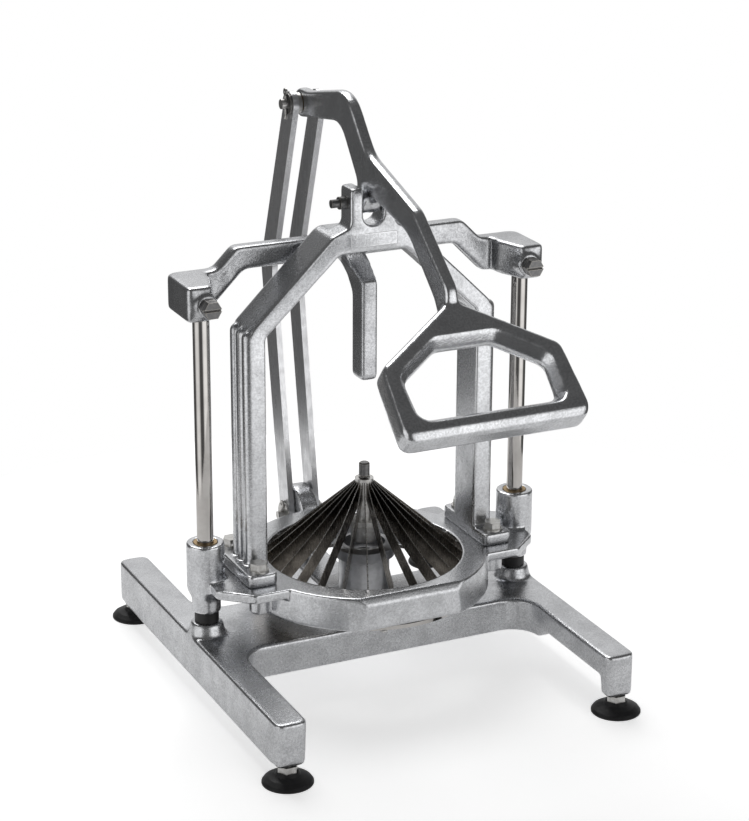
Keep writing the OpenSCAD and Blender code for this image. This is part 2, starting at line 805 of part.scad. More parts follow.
module gate_frame() {
  depth = gate_front + gate_rear;
  pitch = depth / flute_count;
  color("silver") placed() difference() {
    union() {
      gate_outline(-gate_front, gate_rear);
      both_sides() {
        gate_foot();
        for (i = [0:flute_count - 1]) translate([gate_in + gate_bar - flute_sink, -gate_front + pitch * (i + 0.5), ring_top]) {
          cylinder(h = gate_shoulder - ring_top - flute_r, r = flute_r);
          translate([0, 0, gate_shoulder - ring_top - flute_r]) sphere(r = flute_r);
        }
      }
      translate([-badge_w / 2, -gate_front - badge_t, badge_low]) cube([badge_w, badge_t + cut, badge_h]);
    }
    box(-clevis_slot, clevis_slot, -gate_front - cut, gate_rear + cut, slot_floor + clevis_slot, clevis_top + cut);
    bar_y([0, slot_floor + clevis_slot], clevis_slot, -gate_front - cut, gate_rear + cut);
    box(-2 * clevis_out, 2 * clevis_out, -gate_front + ear_depth, gate_rear + cut, slot_floor - ear_floor,
        clevis_top + cut);
    bar_x(pivot_gate, pin_r + fit, -2 * clevis_out, 2 * clevis_out);
    both_sides() for (y = [bolt_front, bolt_rear]) translate([bolt_x, y, ring_top - cut])
      cylinder(h = gate_foot_h + 2 * cut, r = bolt_r + fit);
  }
}

module gate_bolts() {
  head_z = ring_top + gate_foot_h + washer_t;
  low = ring_top - ear_t - bolt_boss_h + 2 * sink;
  color("dimgray") placed() both_sides() for (y = [bolt_front, bolt_rear]) translate([bolt_x, y, 0]) {
    translate([0, 0, head_z]) cylinder(h = bolt_head, r = bolt_head_r, $fn = 6);
    translate([0, 0, low]) cylinder(h = head_z - low, r = bolt_r);
  }
}

module gate_washers() {
  z = ring_top + gate_foot_h;
  color("gray") placed() both_sides() for (y = [bolt_front, bolt_rear]) translate([bolt_x, y, 0])
    tube(washer_r, bolt_r + fit, z, z + washer_t);
}

// Blades: thin upright strips that slope from the hub to slots in the ring
module blade() {
  r_in = hub_core_r + face_gap;
  r_out = ring_bore + blade_seat;
  slope_out = ring_bore - seat_gap;
  translate([0, blade_t / 2, 0]) rotate([90, 0, 0]) linear_extrude(blade_t) polygon([
    [r_in, blade_top_in], [hub_r, blade_top_in], [slope_out, blade_top_out], [r_out, blade_top_out],
    [r_out, ring_low], [ring_bore + seat_gap, ring_low], [slope_out, blade_top_out - blade_h],
    [hub_r, blade_top_in - blade_h], [r_in, blade_top_in - blade_h]]);
}

module blades() {
  color("dimgray") placed() for (i = [0:blade_count - 1]) rotate([0, 0, (i + 0.5) * 360 / blade_count]) blade();
}

// Hub with the coring tube, its flange and the short corer
module blade_hub() {
  neck_z = blade_top_in - blade_h - face_gap;
  flange_z = corer_low + corer_h;
  color("silver") placed() difference() {
    union() {
      translate([0, 0, neck_z]) cylinder(h = hub_top - neck_z, r = hub_r);
      translate([0, 0, flange_z]) cylinder(h = neck_z - flange_z, r = tube_r);
      translate([0, 0, flange_z]) cylinder(h = flange_h, r = flange_r);
      translate([0, 0, corer_low]) cylinder(h = corer_h, r1 = corer_r - corer_wall / 2, r2 = corer_r);
    }
    translate([0, 0, corer_low - cut]) cylinder(h = corer_h - corer_roof + cut, r = corer_r - corer_wall);
    translate([0, 0, corer_low]) cylinder(h = hub_top, r = ejector_r + fit);
    translate([0, 0, spring_seat]) cylinder(h = hub_top, r = spring_bore);
    for (i = [0:blade_count - 1]) rotate([0, 0, (i + 0.5) * 360 / blade_count])
      box(hub_core_r, hub_r + cut, -hub_slot / 2, hub_slot / 2, neck_z - cut, blade_top_in + face_gap);
  }
}

module blade_retainer() {
  color("silver") placed() difference() {
    tube(retainer_out, retainer_in, ring_low - retainer_t, ring_low);
    for (i = [0:retainer_screws_n - 1]) rotate([0, 0, (i + 0.25) * 360 / retainer_screws_n])
      translate([retainer_pcr, 0, ring_low - ring_h]) cylinder(h = 2 * ring_h, r = retainer_screw_r + fit);
  }
}

module retainer_screws() {
  head = ring_low - retainer_t;
  color("silver") placed() for (i = [0:retainer_screws_n - 1]) rotate([0, 0, (i + 0.25) * 360 / retainer_screws_n])
    translate([retainer_pcr, 0, 0]) {
      translate([0, 0, head - retainer_screw_r]) cylinder(h = retainer_screw_r, r = retainer_screw_head_r);
      translate([0, 0, head]) cylinder(h = retainer_screw_reach, r = retainer_screw_r);
    }
}

module clevis_pin() {
  clip_x = clevis_out + face_gap;
  color("gray") placed() {
    bar_x(pivot_gate, pin_r, -clevis_pin_tip, clip_x + clip_t + sink);
    bar_x(pivot_gate, clevis_pin_head_r, -clip_x - clevis_pin_head, -clip_x);
  }
}

module clevis_clip() {
  clip_x = clevis_out + face_gap;
  color("gray") placed() difference() {
    bar_x(pivot_gate, clip_r, clip_x, clip_x + clip_t);
    bar_x(pivot_gate, pin_r + fit, clip_x - cut, clip_x + clip_t + cut);
  }
}

// Core ejector: push plate and stem, screwed cap and return spring
module ejector_pin() {
  plate_top = corer_low + corer_h - corer_roof - face_gap;
  color("silver") placed() {
    translate([0, 0, plate_top - ejector_disc]) cylinder(h = ejector_disc, r = ejector_disc_r);
    translate([0, 0, plate_top]) cylinder(h = hub_top + ejector_rise - plate_top + thread_h, r = ejector_r);
  }
}

module ejector_cap() {
  low = hub_top + ejector_rise;
  barrel = ejector_cap_h - ejector_cap_chamfer;
  color("dimgray") placed() difference() {
    union() {
      translate([0, 0, low]) cylinder(h = barrel, r = ejector_cap_r);
      translate([0, 0, low + barrel]) cylinder(h = ejector_cap_chamfer, r1 = ejector_cap_r,
        r2 = ejector_cap_r - ejector_cap_chamfer);
    }
    translate([0, 0, low - cut]) cylinder(h = thread_h + 2 * cut, r = ejector_r + fit);
  }
}

// A coil spring as a swept wire
module ejector_spring() {
  z0 = spring_seat + spring_wire + face_gap;
  z1 = hub_top + ejector_rise - spring_wire - face_gap;
  steps = 12;
  sides = 6;
  rings = spring_turns * steps;
  points = [for (i = [0:rings], j = [0:sides - 1])
    let (a = i * 360 / steps, b = j * 360 / sides, r = spring_r + spring_wire * cos(b))
    [r * cos(a), r * sin(a), z0 + (z1 - z0) * i / rings + spring_wire * sin(b)]];
  skin = [for (i = [0:rings - 1], j = [0:sides - 1])
    let (k = (j + 1) % sides) [i * sides + j, i * sides + k, (i + 1) * sides + k, (i + 1) * sides + j]];
  ends = [[for (j = [sides - 1:-1:0]) j], [for (j = [0:sides - 1]) rings * sides + j]];
  color("gainsboro") placed() polyhedron(points, concat(skin, ends));
}

// Handle: a curved lever from the top pivot through the clevis to the D-shaped hand grip
function rear_point(share) = concat(lever_root + rear_reach * [share[0], share[1]], rear_reach * share[2]);

function front_point(share) = concat(lever_root + neck_reach * [share[0], share[1]], neck_reach * share[2]);

module lever() {
  end_top = pivot_top + [0, end_boss_r];
  end_low = pivot_top - [0, end_boss_r];
  outline = [
    [end_top[0], end_top[1], 0], rear_point(heel_share), rear_point(crest_share), front_point(nape_share),
    front_point(brow_share), front_point(nose_share), [neck[0], neck[1], 0], front_point(chin_share),
    front_point(jaw_share), front_point(bend_share), front_point(tuck_share),
    [pivot_gate[0] - mid_boss_r, pivot_gate[1], 0], [pivot_gate[0] + mid_boss_r, pivot_gate[1], 0],
    rear_point(throat_share), rear_point(hollow_share), [end_low[0], end_low[1], 0]];
  side_plate(rounded(outline), -lever_t / 2, lever_t / 2);
  bar_x(pivot_top, end_boss_r, -lever_t / 2, lever_t / 2);
  bar_x(pivot_gate, mid_boss_r, -mid_boss_half, mid_boss_half);
}

// One round corner of the grip, its edges eased front and back, its front edge set back by a drop
module grip_puck(x, s, drop = 0) {
  lip = grip_corner - grip_ease;
  translate([x, s - drop, 0]) cylinder(h = grip_ease, r1 = lip, r2 = grip_corner, $fn = 32);
  translate([x, s, 0]) {
    translate([0, 0, drop + grip_ease]) cylinder(h = grip_t - drop - 2 * grip_ease, r = grip_corner, $fn = 32);
    translate([0, 0, grip_t - grip_ease]) cylinder(h = grip_ease, r1 = grip_corner, r2 = lip, $fn = 32);
  }
}

// Half the thickness of the hand opening, narrow at mid depth
module hand_half() {
  spots = [[hand_top_half, hand_top], [hand_side_half, hand_side], [hand_low_half, hand_low]];
  hull() for (p = spots, m = [-1, 1]) {
    translate([m * p[0], p[1], -cut]) cylinder(h = 2 * cut, r = hand_r + hand_draft, $fn = 32);
    translate([m * p[0], p[1], grip_t / 2 - cut]) cylinder(h = 2 * cut, r = hand_r, $fn = 32);
  }
}

module grip() {
  edge = grip_half - grip_corner;
  translate([0, neck[0], neck[1]]) rotate([180 + grip_slope, 0, 0]) difference() {
    hull() for (m = [-1, 1]) {
      grip_puck(m * (grip_neck_half - grip_corner), grip_neck + grip_corner);
      grip_puck(m * (grip_shoulder_half - grip_corner), grip_shoulder);
      grip_puck(m * edge, grip_end - grip_corner, grip_bevel - grip_ease);
    }
    hand_half();
    translate([0, 0, grip_t]) mirror([0, 0, 1]) hand_half();
  }
}

module handle_casting() {
  color("silver") placed() difference() {
    union() {
      lever();
      grip();
    }
    bar_x(pivot_top, top_pin_r + bushing_wall + fit, -lever_t, lever_t);
    bar_x(pivot_gate, pin_r + bushing_wall + fit, -lever_t, lever_t);
  }
}

module lever_bushing(yz, r, half) {
  color("tan") placed() difference() {
    bar_x(yz, r + bushing_wall, -half, half);
    bar_x(yz, r + fit, -half - cut, half + cut);
  }
}

// Links: two bent flat bars from the top pivot down to the lug on the base
module link_bar(x0) {
  along_up = unit(pivot_top - knee);
  along_low = unit(knee - pivot_low);
  side_up = [along_up[1], -along_up[0]];
  side_low = [along_low[1], -along_low[0]];
  w = link_w / 2;
  low_w = low_slot_half + low_slot_r + low_eye_wall;
  k = link_knee_w / 2;
  mid = unit(side_up + side_low);
  difference() {
    union() {
      side_plate(rounded([concat(pivot_top + w * side_up, 0), concat(pivot_top - w * side_up, 0),
        concat(knee - k * mid, knee_round), concat(pivot_low - w * side_low, 0),
        concat(pivot_low + w * side_low, 0), concat(knee + k * mid, knee_round)]), x0, x0 + link_t);
      bar_x(pivot_top, w, x0, x0 + link_t);
      bar_x(pivot_low, low_w, x0, x0 + link_t);
    }
    bar_x(pivot_top, top_pin_r + fit, x0 - cut, x0 + link_t + cut);
    for (m = [-1, 1]) bar_x(pivot_low + [m * low_slot_half, 0], low_slot_r, x0 - cut, x0 + link_t + cut);
    box(x0 - cut, x0 + link_t + cut, pivot_low[0] - low_slot_half, pivot_low[0] + low_slot_half,
        pivot_low[1] - low_slot_r, pivot_low[1] + low_slot_r);
  }
}

module link_pin() {
  head_x = washer_out + face_gap;
  color("gray") placed() difference() {
    union() {
      bar_x(pivot_top, top_pin_r, -pin_tip, head_x);
      bar_x(pivot_top, pin_head_r, head_x, head_x + pin_head);
    }
    cotter_hole(pivot_top, cotter_x);
  }
}

module link_washers() { color("dimgray") placed() pin_washers(pivot_top, small_washer_r, top_pin_r + fit, link_out + face_gap); }

module link_spacers() {
  t = link_in - lever_t / 2 - seat_gap - face_gap;
  color("gray") placed() both_sides() difference() {
    bar_x(pivot_top, small_washer_r, link_in - face_gap - t, link_in - face_gap);
    bar_x(pivot_top, top_pin_r + fit, lever_t / 2, link_in);
  }
}

module link_cotter() { color("gray") placed() cotter(pivot_top, cotter_x); }

base_casting();
rubber_foot(foot_spots[0]);  // foot_front_left
rubber_foot(foot_spots[1]);  // foot_front_right
rubber_foot(foot_spots[2]);  // foot_rear_left
rubber_foot(foot_spots[3]);  // foot_rear_right
foot_studs();
guide_rod(-1);  // guide_rod_left
guide_rod(1);  // guide_rod_right
rod_screws();
bumper(-1);  // bumper_left
bumper(1);  // bumper_right
onion_cup();
cup_screw();
bridge_casting();
clamp_screws();
clamp_nuts();
lower_pin();
lower_washers();
lower_cotter();
blade_ring();
slide_bushings();
gate_frame();
gate_bolts();
gate_washers();
blades();
blade_hub();
blade_retainer();
retainer_screws();
clevis_pin();
clevis_clip();
ejector_pin();
ejector_cap();
ejector_spring();
handle_casting();
lever_bushing(pivot_gate, pin_r, mid_boss_half);  // handle_bushing
lever_bushing(pivot_top, top_pin_r, lever_t / 2);  // link_bushing
color("silver") placed() link_bar(-link_out);  // link_left
color("silver") placed() link_bar(link_in);  // link_right
link_pin();
link_washers();
link_spacers();
link_cotter();
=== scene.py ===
import json
import math

import bpy
from mathutils import Matrix, Vector


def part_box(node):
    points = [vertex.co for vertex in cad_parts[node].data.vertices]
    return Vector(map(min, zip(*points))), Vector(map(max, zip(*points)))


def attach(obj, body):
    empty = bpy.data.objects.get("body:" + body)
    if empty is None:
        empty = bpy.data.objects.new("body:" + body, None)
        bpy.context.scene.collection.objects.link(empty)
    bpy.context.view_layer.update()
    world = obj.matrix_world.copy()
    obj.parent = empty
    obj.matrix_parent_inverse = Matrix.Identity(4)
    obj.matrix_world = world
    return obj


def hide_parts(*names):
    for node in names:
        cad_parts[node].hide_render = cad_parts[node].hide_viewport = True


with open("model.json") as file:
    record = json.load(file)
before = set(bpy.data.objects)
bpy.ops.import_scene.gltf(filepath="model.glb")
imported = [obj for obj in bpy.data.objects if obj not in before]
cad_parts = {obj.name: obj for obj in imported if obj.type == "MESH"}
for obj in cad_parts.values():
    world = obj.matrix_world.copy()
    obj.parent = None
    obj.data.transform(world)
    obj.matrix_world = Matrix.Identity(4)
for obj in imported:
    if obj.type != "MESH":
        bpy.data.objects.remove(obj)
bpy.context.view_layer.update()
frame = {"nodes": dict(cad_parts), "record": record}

bl_info = {
    "name": "Blooming Onion Cutter",
    "version": (1, 0, 0),
    "blender": (4, 5, 0),
    "location": "View3D > Sidebar > Onion Cutter",
    "description": "Dresses the packed blooming onion cutter in cast aluminium, steel and rubber",
    "category": "Object",
}

# Shader expressions
class Signal:
    """A node socket that can be used in Python expressions."""

    def __init__(self, paint, socket):
        self.paint = paint
        self.socket = socket

    def math(self, operation, *values, clamp=False):
        """One Math node over these values."""
        return self.paint.add("ShaderNodeMath", {"operation": operation, "use_clamp": clamp},
                              dict(enumerate(values)))

    def __add__(self, other):
        return self.math("ADD", self, other)

    def __sub__(self, other):
        return self.math("SUBTRACT", self, other)

    def __rsub__(self, other):
        return self.math("SUBTRACT", other, self)

    def __mul__(self, other):
        return self.math("MULTIPLY", self, other)

    def __truediv__(self, other):
        return self.math("DIVIDE", self, other)

    def __pow__(self, other):
        return self.math("POWER", self, other)

    __radd__ = __add__
    __rmul__ = __mul__

    def clamped(self):
        """The value, held between 0 and 1."""
        return self.math("ADD", self, 0.0, clamp=True)

    def between(self, low, high):
        """0 at low, 1 at high, with soft ends."""
        return self.paint.add("ShaderNodeMapRange", {"interpolation_type": "SMOOTHSTEP"},
                              {"Value": self, "From Min": low, "From Max": high})


class Paint:
    """A node tree that is filled by expressions."""

    def __init__(self, tree):
        self.tree = tree
        tree.nodes.clear()

    def add(self, kind, settings=None, sockets=None, out=0):
        """Adds a node, sets its settings and then its sockets, and gives one output."""
        made = self.tree.nodes.new(kind)
        for name, value in (settings or {}).items():
            if name == "stops":
                ramp = made.color_ramp
                for spot, (place, colour) in enumerate(value):
                    stop = ramp.elements[spot] if spot < 2 else ramp.elements.new(place)
                    stop.position, stop.color = place, (*colour, 1.0)
            else:
                setattr(made, name, value)
        for name, value in (sockets or {}).items():
            socket = made.inputs[name]
            if isinstance(value, Signal):
                self.tree.links.new(value.socket, socket)
            elif isinstance(value, tuple) and len(value) == 3 and socket.type == "RGBA":
                socket.default_value = (*value, 1.0)
            else:
                socket.default_value = value
        return Signal(self, made.outputs[out]) if made.outputs else made

    def place(self):
        """Where a point lies on the object, in metres."""
        return self.add("ShaderNodeTexCoord", out="Object")

    def ray(self, kind):
        """1 for one kind of ray."""
        return self.add("ShaderNodeLightPath", out=kind)

    def noise(self, size, detail=2.0, roughness=0.5, stretch=(1.0, 1.0, 1.0)):
        """Cloudy noise whose features are about this size in metres."""
        where = self.add("ShaderNodeMapping", {},
                         {"Vector": self.place(), "Scale": tuple(share / size for share in stretch)})
        return self.add("ShaderNodeTexNoise", {},
                        {"Vector": where, "Scale": 1.0, "Detail": detail, "Roughness": roughness})

    def cells(self, size, out="Distance", feature="F1"):
        """Round grains of about this size in metres."""
        where = self.add("ShaderNodeMapping", {}, {"Vector": self.place(), "Scale": (1.0 / size,) * 3})
        return self.add("ShaderNodeTexVoronoi", {"feature": feature}, {"Vector": where, "Scale": 1.0}, out=out)

    def mix(self, factor, first, second):
        """A colour between two colours."""
        return self.add("ShaderNodeMix", {"data_type": "RGBA"}, {0: factor, 6: first, 7: second}, out=2)

    def bump(self, height, distance, strength=1.0, under=None):
        """A normal that follows a height."""
        sockets = {"Height": height, "Distance": distance, "Strength": strength}
        if under is not None:
            sockets["Normal"] = under
        return self.add("ShaderNodeBump", {}, sockets)

    def edge(self, radius, low=0.0004, high=0.03):
        """1 on the edges that handling has rubbed, 0 on flats."""
        soft = self.add("ShaderNodeBevel", {"samples": 6}, {"Radius": radius})
        flat = self.add("ShaderNodeNewGeometry", out="Normal")
        match = self.add("ShaderNodeVectorMath", {"operation": "DOT_PRODUCT"}, {0: soft, 1: flat}, out="Value")
        return (1.0 - match).between(low, high)

    def surface(self, **sockets):
        """The finished surface."""
        named = {name.replace("_", " "): value for name, value in sockets.items()}
        shader = self.add("ShaderNodeBsdfPrincipled", {}, named)
        self.add("ShaderNodeOutputMaterial", {}, {"Surface": shader})
        return shader


def new_finish(name, fill):
    """A material whose node tree is filled by one function."""
    material = bpy.data.materials.get(name) or bpy.data.materials.new(name)
    material.use_nodes = True
    fill(Paint(material.node_tree))
    return material


# Sizes and colours that a user would change
class CastingSettings(bpy.types.PropertyGroup):
    tone: bpy.props.FloatVectorProperty(name="Tone", description="Colour of the tumbled aluminium",
                                        subtype="COLOR", size=3, min=0, max=1, default=(0.80, 0.81, 0.83))
    dark_tone: bpy.props.FloatVectorProperty(name="Dark tone", description="Colour in the grain's pits",
                                             subtype="COLOR", size=3, min=0, max=1, default=(0.32, 0.322, 0.332))
    grain: bpy.props.FloatProperty(name="Grain", description="Size of the tumbled grain", unit="LENGTH",
                                   min=0.0002, max=0.004, default=0.0017, precision=5)
    detail: bpy.props.FloatProperty(name="Mesh detail", description="Cell size from which a casting is rounded",
                                    unit="LENGTH", min=0.0004, max=0.003, default=0.0009, precision=5)


class SteelSettings(bpy.types.PropertyGroup):
    rod_tone: bpy.props.FloatVectorProperty(name="Rod tone", description="Colour of the ground rods",
                                            subtype="COLOR", size=3, min=0, max=1, default=(0.60, 0.58, 0.56))
    blade_tone: bpy.props.FloatVectorProperty(name="Blade tone", description="Colour of the blades",
                                              subtype="COLOR", size=3, min=0, max=1, default=(0.26, 0.235, 0.205))
    dark_tone: bpy.props.FloatVectorProperty(name="Dark steel tone", description="Colour of oil-blackened screws",
                                             subtype="COLOR", size=3, min=0, max=1, default=(0.16, 0.16, 0.162))


class StudioSettings(bpy.types.PropertyGroup):
    floor_tone: bpy.props.FloatVectorProperty(name="Floor", description="Colour of the floor", subtype="COLOR",
                                              size=3, min=0, max=1, default=(0.86, 0.86, 0.86))
    key_power: bpy.props.FloatProperty(name="Key light", description="Power of the overhead lamp", unit="POWER",
                                       min=0, max=400, default=16)
    table: bpy.props.FloatProperty(name="Table", description="Radius of the table top", unit="LENGTH",
                                   min=0.35, max=3, default=0.55)
    lens: bpy.props.FloatProperty(name="Lens", description="Focal length of the camera", min=20, max=300,
                                  default=107.36)


# Finishes
def casting_skin(paint, wear, low, high):
    """A tumbled, pitted casting: wear darkens it, and its roughness runs from low to high."""
    look = bpy.context.scene.cutter_casting
    grain = paint.noise(look.grain, 3.0, 0.62)
    fleck = paint.noise(look.grain * 0.4, 2.0, 0.6)
    pits = paint.cells(look.grain * 0.8).between(0.2, 0.7)
    cloud = paint.noise(0.018, 3.0, 0.55)
    rub = paint.edge(0.0024)
    dark = (grain.between(0.40, 0.60) * (0.22 + 0.1 * wear) + fleck.between(0.42, 0.62) * 0.14
            + cloud.between(0.3, 0.7) * 0.26 + 0.4 * wear).clamped()
    colour = paint.mix(dark, tuple(look.tone), tuple(look.dark_tone))
    colour = paint.mix((rub * 0.7).clamped(), colour, (0.86, 0.865, 0.88))
    rough = (dark * (high - low) + low - 0.06 * rub).clamped()
    height = grain * 0.6 + fleck * 0.25 + pits * 0.15
    paint.surface(Base_Color=colour, Metallic=1.0, Roughness=rough, Normal=paint.bump(height, 0.00013, 0.8))


def cast_aluminium(paint):
    """The brighter, smoother castings."""
    casting_skin(paint, 0.08, 0.20, 0.36)


def base_casting_skin(paint):
    """The base, a little duller than the ring and gate."""
    casting_skin(paint, 0.26, 0.22, 0.36)


def handle_skin(paint):
    """The lever and grip, polished by hands."""
    casting_skin(paint, 0.0, 0.17, 0.32)


def rough_casting(paint):
    """The darker castings, left as the sand made them."""
    casting_skin(paint, 0.55, 0.20, 0.34)


def ground_rod(paint):
    """Ground and polished steel with fine rings round the bar."""
    look = bpy.context.scene.cutter_steel
    rings = paint.noise(0.0006, 2.0, 0.6, (0.05, 0.05, 1.0))
    stain = paint.noise(0.02, 3.0, 0.6)
    colour = paint.mix(stain.between(0.35, 0.7) * 0.5, tuple(look.rod_tone), (0.42, 0.40, 0.38))
    rough = 0.05 + 0.03 * rings
    paint.surface(Base_Color=colour, Metallic=1.0, Roughness=rough, Normal=paint.bump(rings, 0.00002, 0.3))


def bright_plate(paint):
    """Bright zinc plate, a little uneven."""
    stain = paint.noise(0.003, 3.0, 0.6)
    grain = paint.noise(0.0004, 2.0, 0.5)
    colour = paint.mix(stain.between(0.3, 0.7) * 0.6, (0.66, 0.655, 0.64), (0.40, 0.385, 0.36))
    paint.surface(Base_Color=colour, Metallic=1.0, Roughness=0.22 + 0.16 * stain,
                  Normal=paint.bump(grain, 0.00003, 0.4))


def dark_steel(paint):
    """Oil-blackened steel whose edges have worn bright."""
    look = bpy.context.scene.cutter_steel
    stain = paint.noise(0.0025, 3.0, 0.6)
    rub = paint.edge(0.0006)
    colour = paint.mix(stain.between(0.35, 0.7) * 0.6, tuple(look.dark_tone), (0.26, 0.255, 0.25))
    colour = paint.mix((rub * 0.6).clamped(), colour, (0.6, 0.56, 0.5))
    paint.surface(Base_Color=colour, Metallic=1.0, Roughness=0.28 + 0.2 * stain)


def turned_cup(paint):
    """Turned aluminium with fine rings."""
    rings = paint.noise(0.0008, 2.0, 0.5, (0.02, 0.02, 1.0))
    stain = paint.noise(0.008, 3.0, 0.6)
    colour = paint.mix(stain.between(0.3, 0.7) * 0.5, (0.48, 0.485, 0.50), (0.28, 0.28, 0.29))
    paint.surface(Base_Color=colour, Metallic=1.0, Roughness=0.24 + 0.14 * rings,
                  Normal=paint.bump(rings, 0.00003, 0.4))


def sintered_bronze(paint):
    """Dull sintered bronze."""
    grain = paint.noise(0.0005, 3.0, 0.6)
    colour = paint.mix(grain.between(0.3, 0.7), (0.46, 0.33, 0.18), (0.26, 0.19, 0.11))
    paint.surface(Base_Color=colour, Metallic=1.0, Roughness=0.4 + 0.15 * grain,
                  Normal=paint.bump(grain, 0.00005, 0.5))


def blade_steel(paint):
    """Thin stainless blades with a rolled grain and faint stains, and a painted highlight on their upward-facing
    faces.
    """
    look = bpy.context.scene.cutter_steel
    roll = paint.noise(0.0007, 3.0, 0.6, (1.0, 1.0, 0.08))
    stain = paint.noise(0.012, 4.0, 0.6)
    colour = paint.mix(stain.between(0.3, 0.7) * 0.7, tuple(look.blade_tone), (0.05, 0.044, 0.038))
    # Painted highlight: faces whose normal points up are mixed towards a light colour, standing in for light falling
    # on the blades' top edges.
    facing = paint.add("ShaderNodeNewGeometry", out="Normal")
    painted_top_highlight = paint.add("ShaderNodeSeparateXYZ", {}, {"Vector": facing}, out="Z")
    colour = paint.mix(painted_top_highlight.between(0.15, 0.4), colour, (0.62, 0.6, 0.57))
    paint.surface(Base_Color=colour, Metallic=1.0, Roughness=0.2 + 0.14 * roll,
                  Normal=paint.bump(roll, 0.00002, 0.3))


def spring_wire(paint):
    """Drawn spring wire."""
    stain = paint.noise(0.002, 2.0, 0.5)
    colour = paint.mix(stain.between(0.3, 0.7), (0.6, 0.59, 0.57), (0.4, 0.39, 0.37))
    paint.surface(Base_Color=colour, Metallic=1.0, Roughness=0.2 + 0.1 * stain)


def bar_aluminium(paint):
    """Drawn aluminium bar, brushed along its length."""
    brush = paint.noise(0.0006, 3.0, 0.6, (1.0, 0.6, 0.03))
    cloud = paint.noise(0.012, 3.0, 0.6)
    rub = paint.edge(0.0012)
    dark = (brush.between(0.3, 0.7) * 0.4 + cloud.between(0.35, 0.7) * 0.35).clamped()
    colour = paint.mix(dark, (0.88, 0.885, 0.9), (0.55, 0.55, 0.56))
    colour = paint.mix((rub * 0.6).clamped(), colour, (0.85, 0.855, 0.87))
    paint.surface(Base_Color=colour, Metallic=1.0, Roughness=(0.26 + 0.16 * dark).clamped(),
                  Normal=paint.bump(brush, 0.00004, 0.4))


def black_rubber(paint):
    """Moulded black rubber with a dusty bloom."""
    dust = paint.noise(0.004, 4.0, 0.6)
    grain = paint.noise(0.0005, 2.0, 0.5)
    colour = paint.mix(dust.between(0.4, 0.75) * 0.5, (0.012, 0.012, 0.013), (0.035, 0.034, 0.034))
    paint.surface(Base_Color=colour, Roughness=0.38 + 0.2 * dust, Normal=paint.bump(grain, 0.00004, 0.5))


FINISHES = {
    "cast_aluminium": cast_aluminium, "rough_casting": rough_casting,
    "base_skin": base_casting_skin, "handle_skin": handle_skin, "rubber": black_rubber, "plated_steel": bright_plate,
    "rod_steel": ground_rod, "cup_metal": turned_cup, "dark_steel": dark_steel, "bronze": sintered_bronze,
    "blade_steel": blade_steel, "spring_steel": spring_wire, "link_aluminium": bar_aluminium,
}
SLOT_OF = {row["node"]: row["material_slot"] for row in frame["record"]["subparts"]}
BODY_OF = {node: body for body, nodes in frame["record"]["behaviour"]["bodies"].items() for node in nodes}


MADE = {}


def finish_of(kind):
    """The finish of this name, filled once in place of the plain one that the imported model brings."""
    if kind not in MADE:
        MADE[kind] = new_finish(kind, FINISHES[kind])
    return MADE[kind]


def dress(node, finish=None):
    """Gives a CAD node its finish."""
    thing = frame["nodes"][node]
    thing.data.materials.clear()
    thing.data.materials.append(finish_of(finish or SLOT_OF[node]))
    return thing


def copy_of(node, name, finish):
    """A new piece with the node's own mesh and finish, riding in the node's place."""
    mesh = frame["nodes"][node].data.copy()
    piece = bpy.data.objects.new(name, mesh)
    bpy.context.collection.objects.link(piece)
    mesh.materials.clear()
    mesh.materials.append(finish_of(finish))
    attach(piece, BODY_OF[node])
    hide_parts(node)
    return piece


def settle(piece, *modifiers):
    """Applies modifiers, each a type and its settings, to the piece's mesh."""
    for kind, settings in modifiers:
        added = piece.modifiers.new(kind.title(), kind)
        for name, value in settings.items():
            setattr(added, name, value)
    shape = bpy.data.meshes.new_from_object(piece.evaluated_get(bpy.context.evaluated_depsgraph_get()))
    piece.modifiers.clear()
    piece.data = shape


def rounded_casting(node, name, soften, faces, finish):
    """A casting whose edges and inside corners are rounded, as sand leaves them."""
    cell = bpy.context.scene.cutter_casting.detail
    piece = copy_of(node, name, finish)
    settle(piece, ("REMESH", {"mode": "VOXEL", "voxel_size": cell, "use_smooth_shade": True}),
           ("SMOOTH", {"factor": 0.5, "iterations": soften}))
    share = min(1.0, faces / max(1, 2 * len(piece.data.polygons)))
    settle(piece, ("DECIMATE", {"ratio": share}), ("WEIGHTED_NORMAL", {"weight": 60}))
    piece.data.polygons.foreach_set("use_smooth", [True] * len(piece.data.polygons))
    return piece


# Operators
class CUTTER_OT_castings(bpy.types.Operator):
    """Round and finish the five aluminium castings"""
    bl_idname = "cutter.castings"
    bl_label = "Castings"

    def execute(self, context):
        for node, name, soften, faces, finish in (
                ("base_casting", "base_frame", 34, 60000, "base_skin"),
                ("blade_ring", "blade_carrier", 14, 60000, "cast_aluminium"),
                ("gate_frame", "gate", 20, 60000, "cast_aluminium"),
                ("bridge_casting", "bridge", 60, 40000, "rough_casting"),
                ("handle_casting", "handle", 66, 50000, "handle_skin")):
            rounded_casting(node, name, soften, faces, finish)
        self.raise_panel()
        return {"FINISHED"}

    def raise_panel(self):
        """The bare raised panel on the front of the gate, where the solid has it."""
        wide, low, high, deep = PANEL
        margin = 0.0002
        solid = frame["nodes"]["gate_frame"]
        points = [solid.matrix_world @ corner.co for corner in solid.data.vertices]
        front = min(p.y for p in points
                    if abs(p.x) <= wide / 2 + margin and low - margin <= p.z <= high + margin)
        middle = Vector((0.0, front + deep / 2, (low + high) / 2))
        bpy.ops.mesh.primitive_cube_add(size=1.0, location=middle)
        panel = bpy.context.object
        panel.name = "gate_panel"
        panel.data.transform(Matrix.Diagonal((wide, deep, high - low, 1.0)))
        panel.data.materials.append(finish_of("handle_skin"))
        settle(panel, ("BEVEL", {"width": 0.0005, "segments": 3}))
        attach(panel, BODY_OF["gate_frame"])


